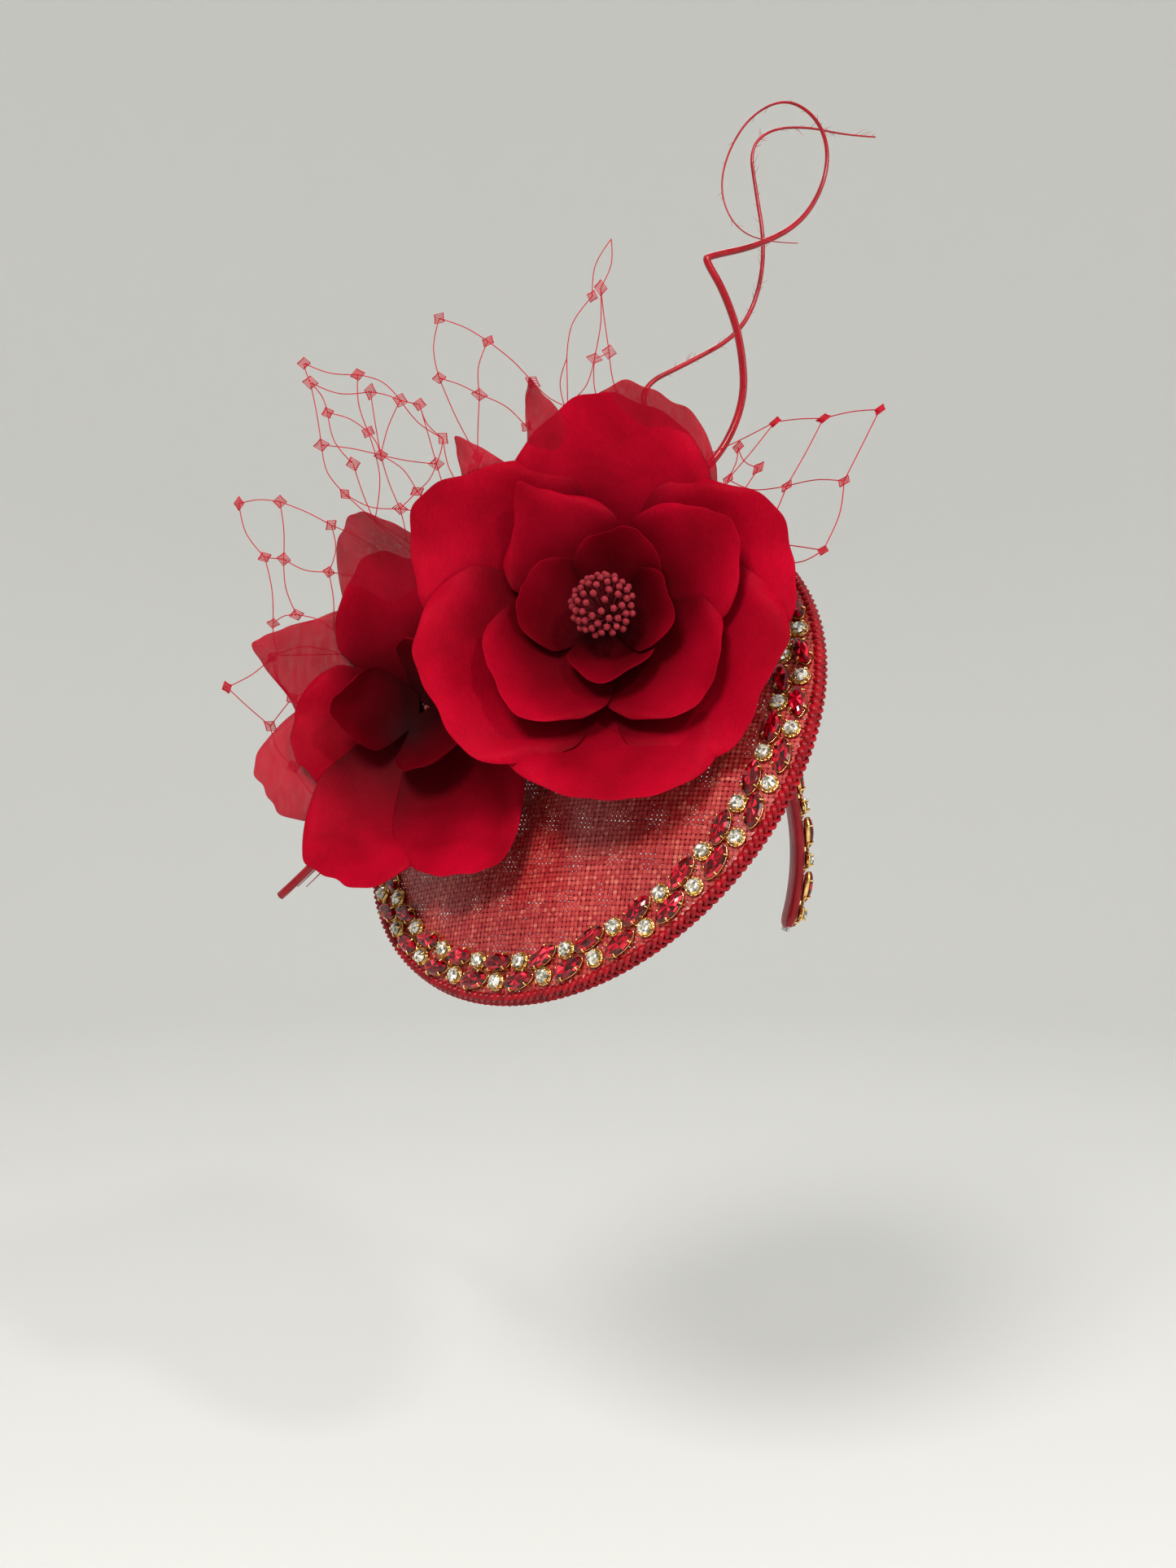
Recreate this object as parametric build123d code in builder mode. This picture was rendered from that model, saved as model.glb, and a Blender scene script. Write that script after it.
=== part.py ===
from build123d import *
import os
from math import atan2, cos, degrees, pi, radians, sin, sqrt, tan

# Fascinator headpiece: a tilted sinamay disc carried on a sprung headband and trimmed with
# a jewelled edge, a silk rose, a smaller silk bloom, two stripped quills and veiling.
# Millimetres, +Z up.  The wearer faces -Y with their left hand towards +X, and the origin
# is the centre of the headband's inner arc.

os.makedirs("parts", exist_ok=True)

# ---------------------------------------------------------------- driving dimensions
DISC_CENTRE = Vector(-30.5, -36, 31.5)
DISC_LEAN = 57.6            # between the disc's normal and the vertical
DISC_HEADING = 55.9         # of the normal, from the wearer's front towards their right
DISC_RADIUS = 120           # outside of the braid
DISC_RISE = 19              # the dome's height at its middle
SINAMAY_THICK = 0.6
LAYER_GAP = 0.6
BRAID_THICK = 2.8
BRAID_BELOW = 6
BRAID_ABOVE = 2.2
RIM_WIRE_RADIUS = 0.75

FAN_TURN = 12               # the quills and veiling stand in a fan, seen square from here,
FAN_TILT = 3                # towards the wearer's right of their front, and a little above

BAND_RADIUS = 72            # inside of the crown arc
BAND_HALF_ARC = 60          # from the top to each flex seam
ARM_RADIUS = 110            # inside of each arm, gentler than the crown
ARM_ARC = 48.5
BAND_THICK = 5
BAND_WIDTH = 12
CORE_THICK = 1.6
CORE_WIDTH = 8
SEAM_GAP = 0.8
SECTION_CORNER = 0.42       # corner radius of the band's section, as a share of its thickness
COVER_FIT = 0.3             # slack of the satin cover round the spring strip
ARM_TRIM_FIRST = (66, 86)   # where the jewels start on the left and the right arm
ARM_TRIM_END = 3            # bare length of band at each tip, in degrees
TACK_ANGLES = (30, 36, 42)  # thread tacks to the disc, right of the top of the head
TACK_ACROSS = 3
TACK_RADIUS = 0.5
TACK_CLEAR = 0.2

TRIM_PITCH_COUNT = 28       # repeats of the jewelled chain round the rim
TRIM_PITCH = 25.1
TRIM_ROWS = (112.8, 105.1)  # radii of the outer and the inner row
TRIM_SKEW = 14              # of each long stone to the chain
MARQUISE_LENGTH = 15
MARQUISE_WIDTH = 7
ROUND_RADIUS = 3.1
CUP_WALL = 0.5
CUP_DEPTH = 2.6
CUP_FLOOR = 0.6
STONE_CROWN = 1.3
STONE_FIT = 0.1

PETAL_THICK = 0.5
PETAL_STEP = 1.1            # rise from one petal's foot to the next
MIDDLE_SPHERES = (66, 4)    # sphere of a ring's first petal, and how much each next one shrinks
INNER_SPHERES = (38, 3)
BLOOM_INNER_SPHERES = (36, 3)
SHEER_STEP = 3              # growth of each organza petal's sphere
STAMEN_COUNT = 55
STAMEN_SPREAD = (4, 34)     # lean of the middle stamen, and how much further the outermost leans
STAMEN_LENGTH = (26, 5)     # of the middle stamen, and how much shorter the outermost is
STAMEN_HEAD_RADIUS = 1.15
STEM_RADIUS = 3.5
QUILL_RADIUS = 2.4
VEIL_THICK = 0.4

# ---------------------------------------------------------------- planes and axes
lean, heading = radians(DISC_LEAN), radians(DISC_HEADING)
disc_normal = Vector(-sin(lean) * sin(heading), -sin(lean) * cos(heading), cos(lean))
turn, tilt = radians(FAN_TURN), radians(FAN_TILT)
fan_normal = Vector(-sin(turn) * cos(tilt), -cos(turn) * cos(tilt), sin(tilt))
fan = Plane(origin=(0, 0, 0), x_dir=(cos(turn), -sin(turn), 0), z_dir=fan_normal)
disc = Plane(origin=DISC_CENTRE, x_dir=disc_normal.cross(fan_normal), z_dir=disc_normal)
disc_profile = Plane(origin=DISC_CENTRE, x_dir=disc.x_dir, z_dir=-disc.y_dir)
disc_axis = Axis(DISC_CENTRE, disc_normal)

dome_radius = (DISC_RADIUS ** 2 + DISC_RISE ** 2) / (2 * DISC_RISE)
sheet_edge = DISC_RADIUS - BRAID_THICK


def dome(distance):
    """Height of the disc's upper face above the rim plane, at a distance from its axis."""
    return DISC_RISE - dome_radius + sqrt(dome_radius ** 2 - distance ** 2)


def save(builder, name):
    builder.part.label = name
    export_step(builder.part, f"parts/{name}.step")


# ---------------------------------------------------------------- sinamay disc and its edge
def sinamay_sheet(name, drop):
    """One layer of the domed disc, hanging the given drop below the upper face."""
    middle = sheet_edge / 2
    with BuildPart() as sheet:
        with BuildSketch(disc_profile):
            with BuildLine():
                upper = [(r, dome(r) - drop) for r in (0, middle, sheet_edge)]
                lower = [(r, dome(r) - drop - SINAMAY_THICK) for r in (0, middle, sheet_edge)]
                ThreePointArc(*upper)
                Line(upper[2], lower[2])
                ThreePointArc(*lower)
                Line(lower[0], upper[0])
            make_face()
        revolve(axis=disc_axis)
    save(sheet, name)


sinamay_sheet("sinamay_top_layer", 0)
sinamay_sheet("sinamay_under_layer", SINAMAY_THICK + LAYER_GAP)

with BuildPart() as rim_wire:
    with BuildSketch(disc_profile):
        with Locations((sheet_edge - 1.2, dome(sheet_edge) - 3.4)):
            Circle(RIM_WIRE_RADIUS)
    revolve(axis=disc_axis)
save(rim_wire, "rim_wire")

with BuildPart() as edge_braid:
    with BuildSketch(disc_profile):
        with Locations((sheet_edge + BRAID_THICK / 2, (BRAID_ABOVE - BRAID_BELOW) / 2)):
            RectangleRounded(BRAID_THICK, BRAID_ABOVE + BRAID_BELOW, 1.2)
    revolve(axis=disc_axis)
save(edge_braid, "edge_braid")


# ---------------------------------------------------------------- stones in their cups
def marquise(length, width):
    """A pointed oval between two arcs."""
    with BuildSketch() as outline:
        with BuildLine():
            ThreePointArc((-length / 2, 0), (0, width / 2), (length / 2, 0))
            ThreePointArc((length / 2, 0), (0, -width / 2), (-length / 2, 0))
        make_face()
    return outline.sketch


cup_outline = marquise(MARQUISE_LENGTH + 3 * CUP_WALL, MARQUISE_WIDTH + 2 * CUP_WALL)
seat_outline = marquise(MARQUISE_LENGTH + 2 * STONE_FIT, MARQUISE_WIDTH + 2 * STONE_FIT)
girdle_outline = marquise(MARQUISE_LENGTH, MARQUISE_WIDTH)
table_outline = marquise(MARQUISE_LENGTH * 0.62, MARQUISE_WIDTH * 0.55)

with BuildPart() as marquise_cup:
    with BuildSketch():
        add(cup_outline)
    extrude(amount=CUP_DEPTH)
    with BuildSketch(Plane.XY.offset(CUP_FLOOR)):
        add(seat_outline)
    extrude(amount=CUP_DEPTH, mode=Mode.SUBTRACT)

with BuildPart() as round_cup:
    Cylinder(ROUND_RADIUS + CUP_WALL, CUP_DEPTH, align=(Align.CENTER, Align.CENTER, Align.MIN))
    with Locations((0, 0, CUP_FLOOR)):
        Cylinder(ROUND_RADIUS + STONE_FIT, CUP_DEPTH, align=(Align.CENTER, Align.CENTER, Align.MIN),
                 mode=Mode.SUBTRACT)

with BuildPart() as marquise_stone:
    with BuildSketch(Plane.XY.offset(CUP_FLOOR)):
        add(girdle_outline)
    extrude(amount=CUP_DEPTH - CUP_FLOOR)
    with BuildSketch(Plane.XY.offset(CUP_DEPTH)):
        add(girdle_outline)
    with BuildSketch(Plane.XY.offset(CUP_DEPTH + STONE_CROWN)):
        add(table_outline)
    loft()

with BuildPart() as round_stone:
    with Locations((0, 0, CUP_FLOOR)):
        Cylinder(ROUND_RADIUS, CUP_DEPTH - CUP_FLOOR, align=(Align.CENTER, Align.CENTER, Align.MIN))
    with Locations((0, 0, CUP_DEPTH)):
        Cone(ROUND_RADIUS, ROUND_RADIUS * 0.55, STONE_CROWN, align=(Align.CENTER, Align.CENTER, Align.MIN))


def rim_place(row, steps, skew):
    """A place on the dome in the given row, so many half pitches round from the disc's x axis."""
    radius = TRIM_ROWS[row]
    slope = degrees(atan2(radius, sqrt(dome_radius ** 2 - radius ** 2)))
    round_rim = disc.location * Location((0, 0, 0), (0, 0, steps * 180 / TRIM_PITCH_COUNT))
    return round_rim * Location((radius, 0, dome(radius) + 0.3), (0, slope, 0)) * Location(
        (0, 0, 0), (0, 0, 90 + skew))


rim_long = [rim_place(row, 2 * i + row, TRIM_SKEW) for row in (0, 1) for i in range(TRIM_PITCH_COUNT)]
rim_round = [rim_place(row, 2 * i + 1 - row, 0) for row in (0, 1) for i in range(TRIM_PITCH_COUNT)]


def stones(name, long_places, long_solid, round_places, round_solid):
    with BuildPart() as group:
        if long_solid:
            with Locations(*long_places):
                add(long_solid.part)
        if round_solid:
            with Locations(*round_places):
                add(round_solid.part)
    save(group, name)


stones("rim_settings", rim_long, marquise_cup, rim_round, round_cup)
stones("rim_ruby_stones", rim_long, marquise_stone, rim_round, None)
stones("rim_clear_stones", rim_long, None, rim_round, round_stone)


# ---------------------------------------------------------------- headband
def arc_bar(centre, radius, start, arc, thick, width, hollow=0):
    """A bar bent about the Y direction, from start degrees right of the top, onwards by arc."""
    first = radians(start)
    outward = Vector(sin(first), 0, cos(first))
    middle = centre + outward * (radius + BAND_THICK / 2)
    section = Plane(origin=middle, x_dir=outward, z_dir=(cos(first), 0, -sin(first)))
    with BuildPart() as bar:
        with BuildSketch(section):
            RectangleRounded(thick, width, thick * SECTION_CORNER)
            if hollow:
                RectangleRounded(CORE_THICK + hollow, CORE_WIDTH + hollow, CORE_THICK * SECTION_CORNER,
                                 mode=Mode.SUBTRACT)
        revolve(axis=Axis(centre, (0, 1, 0)), revolution_arc=arc)
    return bar


seam_angle = degrees(SEAM_GAP / 2 / (BAND_RADIUS + BAND_THICK / 2))
crown_start = -BAND_HALF_ARC + seam_angle
crown_arc = 2 * (BAND_HALF_ARC - seam_angle)
crown = (Vector(0, 0, 0), BAND_RADIUS, crown_start, crown_arc)
save(arc_bar(*crown, BAND_THICK, BAND_WIDTH, COVER_FIT), "band_cover_crown")
save(arc_bar(*crown, CORE_THICK, CORE_WIDTH), "band_core_crown")

arm_shift = ARM_RADIUS - BAND_RADIUS
arm_seam = degrees(SEAM_GAP / 2 / (ARM_RADIUS + BAND_THICK / 2))
half = radians(BAND_HALF_ARC)


def arm_place(side, degrees_down, across, spin):
    """A place on an arm's outer face; side is 1 for the wearer's left and -1 for their right."""
    centre = Vector(-side * arm_shift * sin(half), 0, -arm_shift * cos(half))
    angle = radians(degrees_down)
    outward = Vector(side * sin(angle), 0, cos(angle))
    spot = centre + outward * (ARM_RADIUS + BAND_THICK + 0.2) + Vector(0, across, 0)
    face = Plane(origin=spot, x_dir=(side * cos(angle), 0, -sin(angle)), z_dir=outward)
    return face.location * Location((0, 0, 0), (0, 0, spin))


def arm_trim(side, first, last):
    """Stones on an arm: two staggered rows from the first angle to the last, as on the rim."""
    step = degrees(TRIM_PITCH / 2 / (ARM_RADIUS + BAND_THICK))
    count = int((last - first) / step) + 1
    row_across = (TRIM_ROWS[0] - TRIM_ROWS[1]) / 2
    long_places = []
    round_places = []
    for i in range(count):
        for row in (0, 1):
            across = row_across * (1 - 2 * row)
            if (i + row) % 2:
                round_places.append(arm_place(side, first + i * step, across, 0))
            else:
                long_places.append(arm_place(side, first + i * step, across, TRIM_SKEW))
    return long_places, round_places


for side, arm, trim_first in zip((1, -1), ("band_left", "band_right"), ARM_TRIM_FIRST):
    centre = Vector(-side * arm_shift * sin(half), 0, -arm_shift * cos(half))
    start = BAND_HALF_ARC + arm_seam if side > 0 else -BAND_HALF_ARC - ARM_ARC
    arc = ARM_ARC - arm_seam
    save(arc_bar(centre, ARM_RADIUS, start, arc, BAND_THICK, BAND_WIDTH, COVER_FIT), f"{arm}_cover")
    save(arc_bar(centre, ARM_RADIUS, start, arc, CORE_THICK, CORE_WIDTH), f"{arm}_core")
    long_places, round_places = arm_trim(side, trim_first, BAND_HALF_ARC + ARM_ARC - ARM_TRIM_END)
    stones(f"{arm}_settings", long_places, marquise_cup, round_places, round_cup)
    stones(f"{arm}_ruby_stones", long_places, marquise_stone, round_places, None)
    stones(f"{arm}_clear_stones", long_places, None, round_places, round_stone)


# thread tacks between the crown and the underside of the disc
with BuildPart() as band_stitches:
    for angle in TACK_ANGLES:
        for across in (-TACK_ACROSS, TACK_ACROSS):
            outward = Vector(-sin(radians(angle)), 0, cos(radians(angle)))
            foot = outward * (BAND_RADIUS + BAND_THICK) + Vector(0, across, 0)
            local = disc.to_local_coords(foot)
            under = dome(sqrt(local.X ** 2 + local.Y ** 2)) - 2 * SINAMAY_THICK - LAYER_GAP
            length = under - local.Z - 2 * TACK_CLEAR
            with Locations(Plane(origin=foot + disc_normal * TACK_CLEAR, z_dir=disc_normal).location):
                Cylinder(TACK_RADIUS, length, align=(Align.CENTER, Align.CENTER, Align.MIN))
save(band_stitches, "band_stitches")


# ---------------------------------------------------------------- silk flowers
# Every petal is part of its own thin sphere.  The spheres of a flower touch its axis one
# above the other and shrink inwards, so no two petals can meet.
rose_radius = 93
rose_foot = disc.from_local_coords((47.5, -12, 42))
rose_axis = (fan.x_dir * -0.12 + fan.y_dir * 0.17 + fan.z_dir * 0.98).normalized()
bloom_radius = 84
bloom_foot = disc.from_local_coords((-29.5, 43, 47))
bloom_axis = (fan.x_dir * -0.30 - fan.y_dir * 0.04 + fan.z_dir * 0.95).normalized()
rose = Plane(origin=rose_foot, x_dir=fan.y_dir.cross(rose_axis), z_dir=rose_axis)
bloom = Plane(origin=bloom_foot, x_dir=fan.y_dir.cross(bloom_axis), z_dir=bloom_axis)
rose_keep_out = rose.from_local_coords((0, 0, rose_radius))


def petal(name, flower, radius, rise, bearing, reach, width, keep_out=0):
    """A cupped petal: radius and rise of its sphere, bearing round the flower's axis,
    reach along the sphere from the axis to the tip, and width."""
    middle = reach / 2 / radius
    way = flower.x_dir * cos(radians(bearing)) + flower.y_dir * sin(radians(bearing))
    centre = flower.from_local_coords((0, 0, rise + radius))
    outward = way * sin(middle) - flower.z_dir * cos(middle)
    along = way * cos(middle) + flower.z_dir * sin(middle)
    with BuildPart() as blade:
        with Locations(centre):
            Sphere(radius)
            Sphere(radius - PETAL_THICK, mode=Mode.SUBTRACT)
        with BuildSketch(Plane(origin=centre, x_dir=along, z_dir=outward)):
            Ellipse(radius * sin(middle), width / 2)
        extrude(amount=radius + 1, mode=Mode.INTERSECT)
        with Locations(flower.location * Location((0, 0, rise))):
            Cylinder(STEM_RADIUS + 0.3, 30, mode=Mode.SUBTRACT)
        if keep_out:
            with Locations(rose_keep_out):
                Sphere(keep_out, mode=Mode.SUBTRACT)
    save(blade, name)


# bearing, reach and width of each petal, outermost first
rose_outer = ((90, 94, 92), (150, 92, 88), (20, 84, 90), (-85, 92, 94), (-30, 84, 90), (-150, 88, 92))
rose_middle = ((125, 72, 54), (30, 68, 60), (-40, 64, 62), (-135, 66, 62))
rose_inner = ((170, 44, 42), (75, 42, 40), (-80, 40, 40), (0, 38, 38))
bloom_outer = ((100, 70, 66), (-160, 62, 64), (-108, 92, 66), (-60, 93, 70), (15, 84, 66))
bloom_inner = ((60, 46, 42), (180, 44, 40), (-60, 42, 40))


def ring(name, flower, sizes, spheres, rise, keep_out=0):
    """A ring of petals: spheres is the first petal's radius and how much each next one shrinks."""
    radius, shrink = spheres
    for i, (bearing, reach, width) in enumerate(sizes):
        sphere = radius - i * shrink
        petal(f"{name}_{i + 1}", flower, sphere, rise + i * PETAL_STEP, bearing, reach, width, keep_out)
    return rise + len(sizes) * PETAL_STEP


silk_keep_out = rose_radius + 1.5
rise = ring("rose_outer_petal", rose, rose_outer, (rose_radius, 1.5), 0)
rise = ring("rose_middle_petal", rose, rose_middle, MIDDLE_SPHERES, rise)
rose_top = ring("rose_inner_petal", rose, rose_inner, INNER_SPHERES, rise)
rise = ring("bloom_outer_petal", bloom, bloom_outer, (bloom_radius, 1.5), 0, silk_keep_out)
bloom_top = ring("bloom_inner_petal", bloom, bloom_inner, BLOOM_INNER_SPHERES, rise, silk_keep_out)

# sheer organza petals stand behind the silk ones, each on a wider sphere
organza_rose = ((108, 112, 36), (132, 108, 40), (80, 104, 74))
organza_bloom = ((98, 95, 52), (157, 86, 58), (-152, 84, 56))
for i, (bearing, reach, width) in enumerate(organza_rose):
    step = i + 1
    sphere = rose_radius + SHEER_STEP * step
    petal(f"organza_petal_{step}", rose, sphere, -step * PETAL_STEP, bearing, reach, width)
for i, (bearing, reach, width) in enumerate(organza_bloom):
    step = i + 1
    sphere = bloom_radius + SHEER_STEP * step
    petal(f"organza_petal_{step + 3}", bloom, sphere, -step * PETAL_STEP, bearing, reach, width,
          rose_radius + 4 * SHEER_STEP)


def stem(name, flower, top):
    """A wrapped wire stem from just above the dome up to the flower's eye."""
    with BuildPart() as bar:
        local = disc.to_local_coords(flower.origin)
        below = local.Z - dome(sqrt(local.X ** 2 + local.Y ** 2))
        lean_in = flower.z_dir.dot(disc_normal)
        drop = (below - 3) / lean_in
        with Locations(flower.location * Location((0, 0, -drop))):
            Cylinder(STEM_RADIUS, drop + top, align=(Align.CENTER, Align.CENTER, Align.MIN))
    save(bar, name)


stem("rose_stem", rose, rose_top)
stem("bloom_stem", bloom, bloom_top)

# stamens: a domed tuft of filaments, each with a small round head
STAMEN_TURN = pi * (3 - sqrt(5))
with BuildPart() as rose_stamens:
    for i in range(STAMEN_COUNT):
        share = i / STAMEN_COUNT
        spread = radians(STAMEN_SPREAD[0] + STAMEN_SPREAD[1] * sqrt(share))
        bearing = i * STAMEN_TURN
        length = STAMEN_LENGTH[0] - STAMEN_LENGTH[1] * share
        aside = length * sin(spread)
        tip = (aside * cos(bearing), aside * sin(bearing), rose_top + length * cos(spread))
        with Locations(rose.from_local_coords(tip)):
            Sphere(STAMEN_HEAD_RADIUS)
save(rose_stamens, "rose_stamen_heads")


# ---------------------------------------------------------------- quills
def fan_points(points):
    return [fan.from_local_coords(p) for p in points]


def rod(points, radius, bore=0, depth=0):
    """A round rod through the points, with each corner rounded as widely as its runs allow."""
    corners = []
    for before, here, after in zip(points, points[1:], points[2:]):
        a, b = here - before, after - here
        half_turn = radians(a.get_angle(b)) / 2
        corners.append(min(0.45 * min(a.length, b.length) / tan(half_turn), 400))
    with BuildPart() as bar:
        with BuildLine():
            path = FilletPolyline(*points, radius=corners)
        with BuildSketch(Plane(origin=points[0], z_dir=points[1] - points[0])):
            Circle(radius)
        sweep(path=path)
        if bore:
            with BuildSketch(Plane(origin=points[0], z_dir=points[1] - points[0])):
                Circle(bore)
            extrude(amount=depth, mode=Mode.SUBTRACT)
    return bar


# right, up and forward in the fan's plane
long_shaft = fan_points(((-163, -37, -11), (-129, -7, -3), (-95, 50, -8), (-54, 97, -6), (-26, 120, -1)))
long_rise = fan_points((
    (-25.4, 120.5, -0.9), (2, 138, 4), (36, 158, 3), (52, 188, 2), (50, 217, 5), (42, 239, 8),
    (33, 252, 9)))
long_curl = fan_points((
    (33.5, 253, 9), (58, 262, 0), (79, 275, -8), (90, 294, -12), (92, 312, -12), (85, 326, -10),
    (71, 332, -6), (55, 323, -2), (44, 305, 2), (40, 286, 5), (46, 269, 8), (59, 261, 10),
    (75, 260, 12)))
short_curl = fan_points((
    (-33, 114, -10), (-6, 148, -9), (10, 178, -7), (3, 199, -9), (28, 212, -14), (50, 225, -18),
    (60, 244, -20), (63, 268, -20), (59, 294, -22), (56, 314, -22), (66, 324, -24),
    (84, 325.5, -26), (103, 322, -28), (116, 321, -27)))
save(rod(long_shaft, QUILL_RADIUS, QUILL_RADIUS - 0.7, 14), "quill_long_shaft")
rise_rod = rod(long_rise, QUILL_RADIUS * 0.75)
curl_rod = rod(long_curl, QUILL_RADIUS * 0.3)
with BuildPart() as quill_long:
    add(rise_rod.part)
    add(curl_rod.part)
save(quill_long, "quill_long_curl")
save(rod(short_curl, QUILL_RADIUS * 0.5), "quill_short")

# thread whipping where the long quill leaves the flowers
with BuildPart() as quill_binding:
    run = long_shaft[-1] - long_shaft[-2]
    with BuildSketch(Plane(origin=long_shaft[-1] - run.normalized() * 7, z_dir=run)):
        Circle(QUILL_RADIUS + 0.9)
        Circle(QUILL_RADIUS, mode=Mode.SUBTRACT)
    extrude(amount=5.5)
save(quill_binding, "quill_binding")


# ---------------------------------------------------------------- veiling
def veil(name, *pieces):
    """Flat tufts of veiling; each piece is a depth in the fan and its outline, right and up."""
    with BuildPart() as tuft:
        for depth, outline in pieces:
            with BuildSketch(fan.offset(depth)):
                with BuildLine():
                    Polyline(*outline, close=True)
                make_face()
            extrude(amount=VEIL_THICK)
    save(tuft, name)


veil("veil_tuft_1", (-13, (
    (-88, 60), (-135, 54), (-164, 77), (-190, 60), (-169, 41), (-157, 22), (-139, 20), (-112, 34))))
veil("veil_tuft_2", (-16, (
    (-82, 77), (-127, 115), (-140, 140), (-164, 149), (-184, 147), (-169, 119), (-165, 98),
    (-143, 77))))
veil("veil_tuft_3", (-19, (
    (-63, 81), (-67, 138), (-86, 176), (-120, 206), (-153, 213), (-151, 191), (-131, 149),
    (-112, 123))))
veil("veil_tuft_4",
     (-22, ((-51, 100), (-29, 191), (-46, 205), (-67, 224), (-90, 234), (-89, 205), (-73, 153))),
     (-25, ((-14, 138), (0, 187), (-10, 220), (-9, 274), (-15, 246), (-30, 199), (-29, 176))))

# the fifth tuft spreads beside the rose, level with the disc and clear above its edge
VEIL_HEIGHT = 14
with BuildPart() as veil_side:
    with BuildSketch(disc.offset(VEIL_HEIGHT)):
        with BuildLine():
            Polyline((84, 18), (112, 40), (140, 44), (165, 26), (196, -2), (170, -24), (140, -42),
                     (122, -28), (100, -6), close=True)
        make_face()
    extrude(amount=VEIL_THICK)
save(veil_side, "veil_tuft_5")
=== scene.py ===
import math

import bpy
import numpy as np
from mathutils import Matrix


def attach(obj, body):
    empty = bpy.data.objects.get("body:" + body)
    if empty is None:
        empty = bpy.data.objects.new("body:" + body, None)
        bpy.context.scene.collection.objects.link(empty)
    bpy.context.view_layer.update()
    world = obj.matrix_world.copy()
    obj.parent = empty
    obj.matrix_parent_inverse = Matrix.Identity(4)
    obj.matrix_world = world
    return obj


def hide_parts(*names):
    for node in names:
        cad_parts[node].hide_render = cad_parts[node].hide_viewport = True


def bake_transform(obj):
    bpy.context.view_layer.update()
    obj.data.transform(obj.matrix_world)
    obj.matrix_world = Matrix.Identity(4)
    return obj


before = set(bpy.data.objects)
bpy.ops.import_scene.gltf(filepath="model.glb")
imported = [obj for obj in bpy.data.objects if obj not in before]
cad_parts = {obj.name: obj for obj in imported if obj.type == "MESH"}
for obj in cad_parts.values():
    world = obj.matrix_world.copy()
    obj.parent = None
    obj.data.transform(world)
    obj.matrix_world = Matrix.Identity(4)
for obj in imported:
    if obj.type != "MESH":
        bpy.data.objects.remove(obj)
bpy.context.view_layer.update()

# Shapes are worked out in millimetres and turned into metres where a mesh is made.
MM = 0.001
rng = np.random.default_rng(7)


# ---------------------------------------------------------------- the two planes of the design
class Place:
    """A plane with its own right, up and outward directions, in the row frame."""

    def __init__(self, origin, x, z):
        self.origin, self.x, self.z = np.array(origin, float), unit(x), unit(z)
        self.y = np.cross(self.z, self.x)

    def at(self, points):
        p = np.atleast_2d(np.array(points, float))
        return self.origin + p[:, :1] * self.x + p[:, 1:2] * self.y + p[:, 2:3] * self.z


def unit(v):
    v = np.array(v, float)
    return v / np.linalg.norm(v)


LEAN, HEADING = math.radians(57.6), math.radians(55.9)
FAN_TURN, FAN_TILT = math.radians(12), math.radians(3)
DISC_NORMAL = (-math.sin(LEAN) * math.sin(HEADING), -math.sin(LEAN) * math.cos(HEADING), math.cos(LEAN))
FAN_NORMAL = (-math.sin(FAN_TURN) * math.cos(FAN_TILT), -math.cos(FAN_TURN) * math.cos(FAN_TILT),
              math.sin(FAN_TILT))
fan = Place((0, 0, 0), (math.cos(FAN_TURN), -math.sin(FAN_TURN), 0), FAN_NORMAL)
disc = Place((-30.5, -36, 31.5), np.cross(DISC_NORMAL, FAN_NORMAL), DISC_NORMAL)

DISC_RADIUS, DISC_RISE, BRAID_THICK = 120, 19, 2.8
BRAID_ABOVE, BRAID_BELOW, BRAID_MIDDLE = 2.2, 6, 1.45
DOME_RADIUS = (DISC_RADIUS ** 2 + DISC_RISE ** 2) / (2 * DISC_RISE)
SHEET_EDGE = DISC_RADIUS - BRAID_THICK


def dome(distance):
    return DISC_RISE - DOME_RADIUS + np.sqrt(DOME_RADIUS ** 2 - distance ** 2)


# ---------------------------------------------------------------- camera, light and stage
def make_camera():
    data = bpy.data.cameras.new("camera")
    data.lens, data.sensor_width = 45, 36
    camera = bpy.data.objects.new("camera", data)
    bpy.context.scene.collection.objects.link(camera)
    distance, aim = 900, fan.at((-20, 15, 0))[0]
    camera.location = (aim + fan.z * distance) * MM
    axes = np.stack([fan.x, fan.y, fan.z], 1)
    camera.rotation_mode = "QUATERNION"
    camera.rotation_quaternion = matrix_of(axes).to_quaternion()
    bpy.context.scene.camera = camera


def matrix_of(axes):
    """A rotation matrix whose columns are the given axes."""
    return Matrix([list(row) for row in axes])


def area_light(name, place, aim, size, power, colour):
    data = bpy.data.lights.new(name, "AREA")
    data.shape, data.size, data.energy, data.color = "DISK", size, power, colour
    light = bpy.data.objects.new(name, data)
    bpy.context.scene.collection.objects.link(light)
    light.location = place
    back = unit(np.array(place, float) - np.array(aim, float))
    side = unit(np.cross((0, 0, 1), back))
    light.rotation_mode = "QUATERNION"
    light.rotation_quaternion = matrix_of(np.stack([side, np.cross(back, side), back], 1)).to_quaternion()


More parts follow.
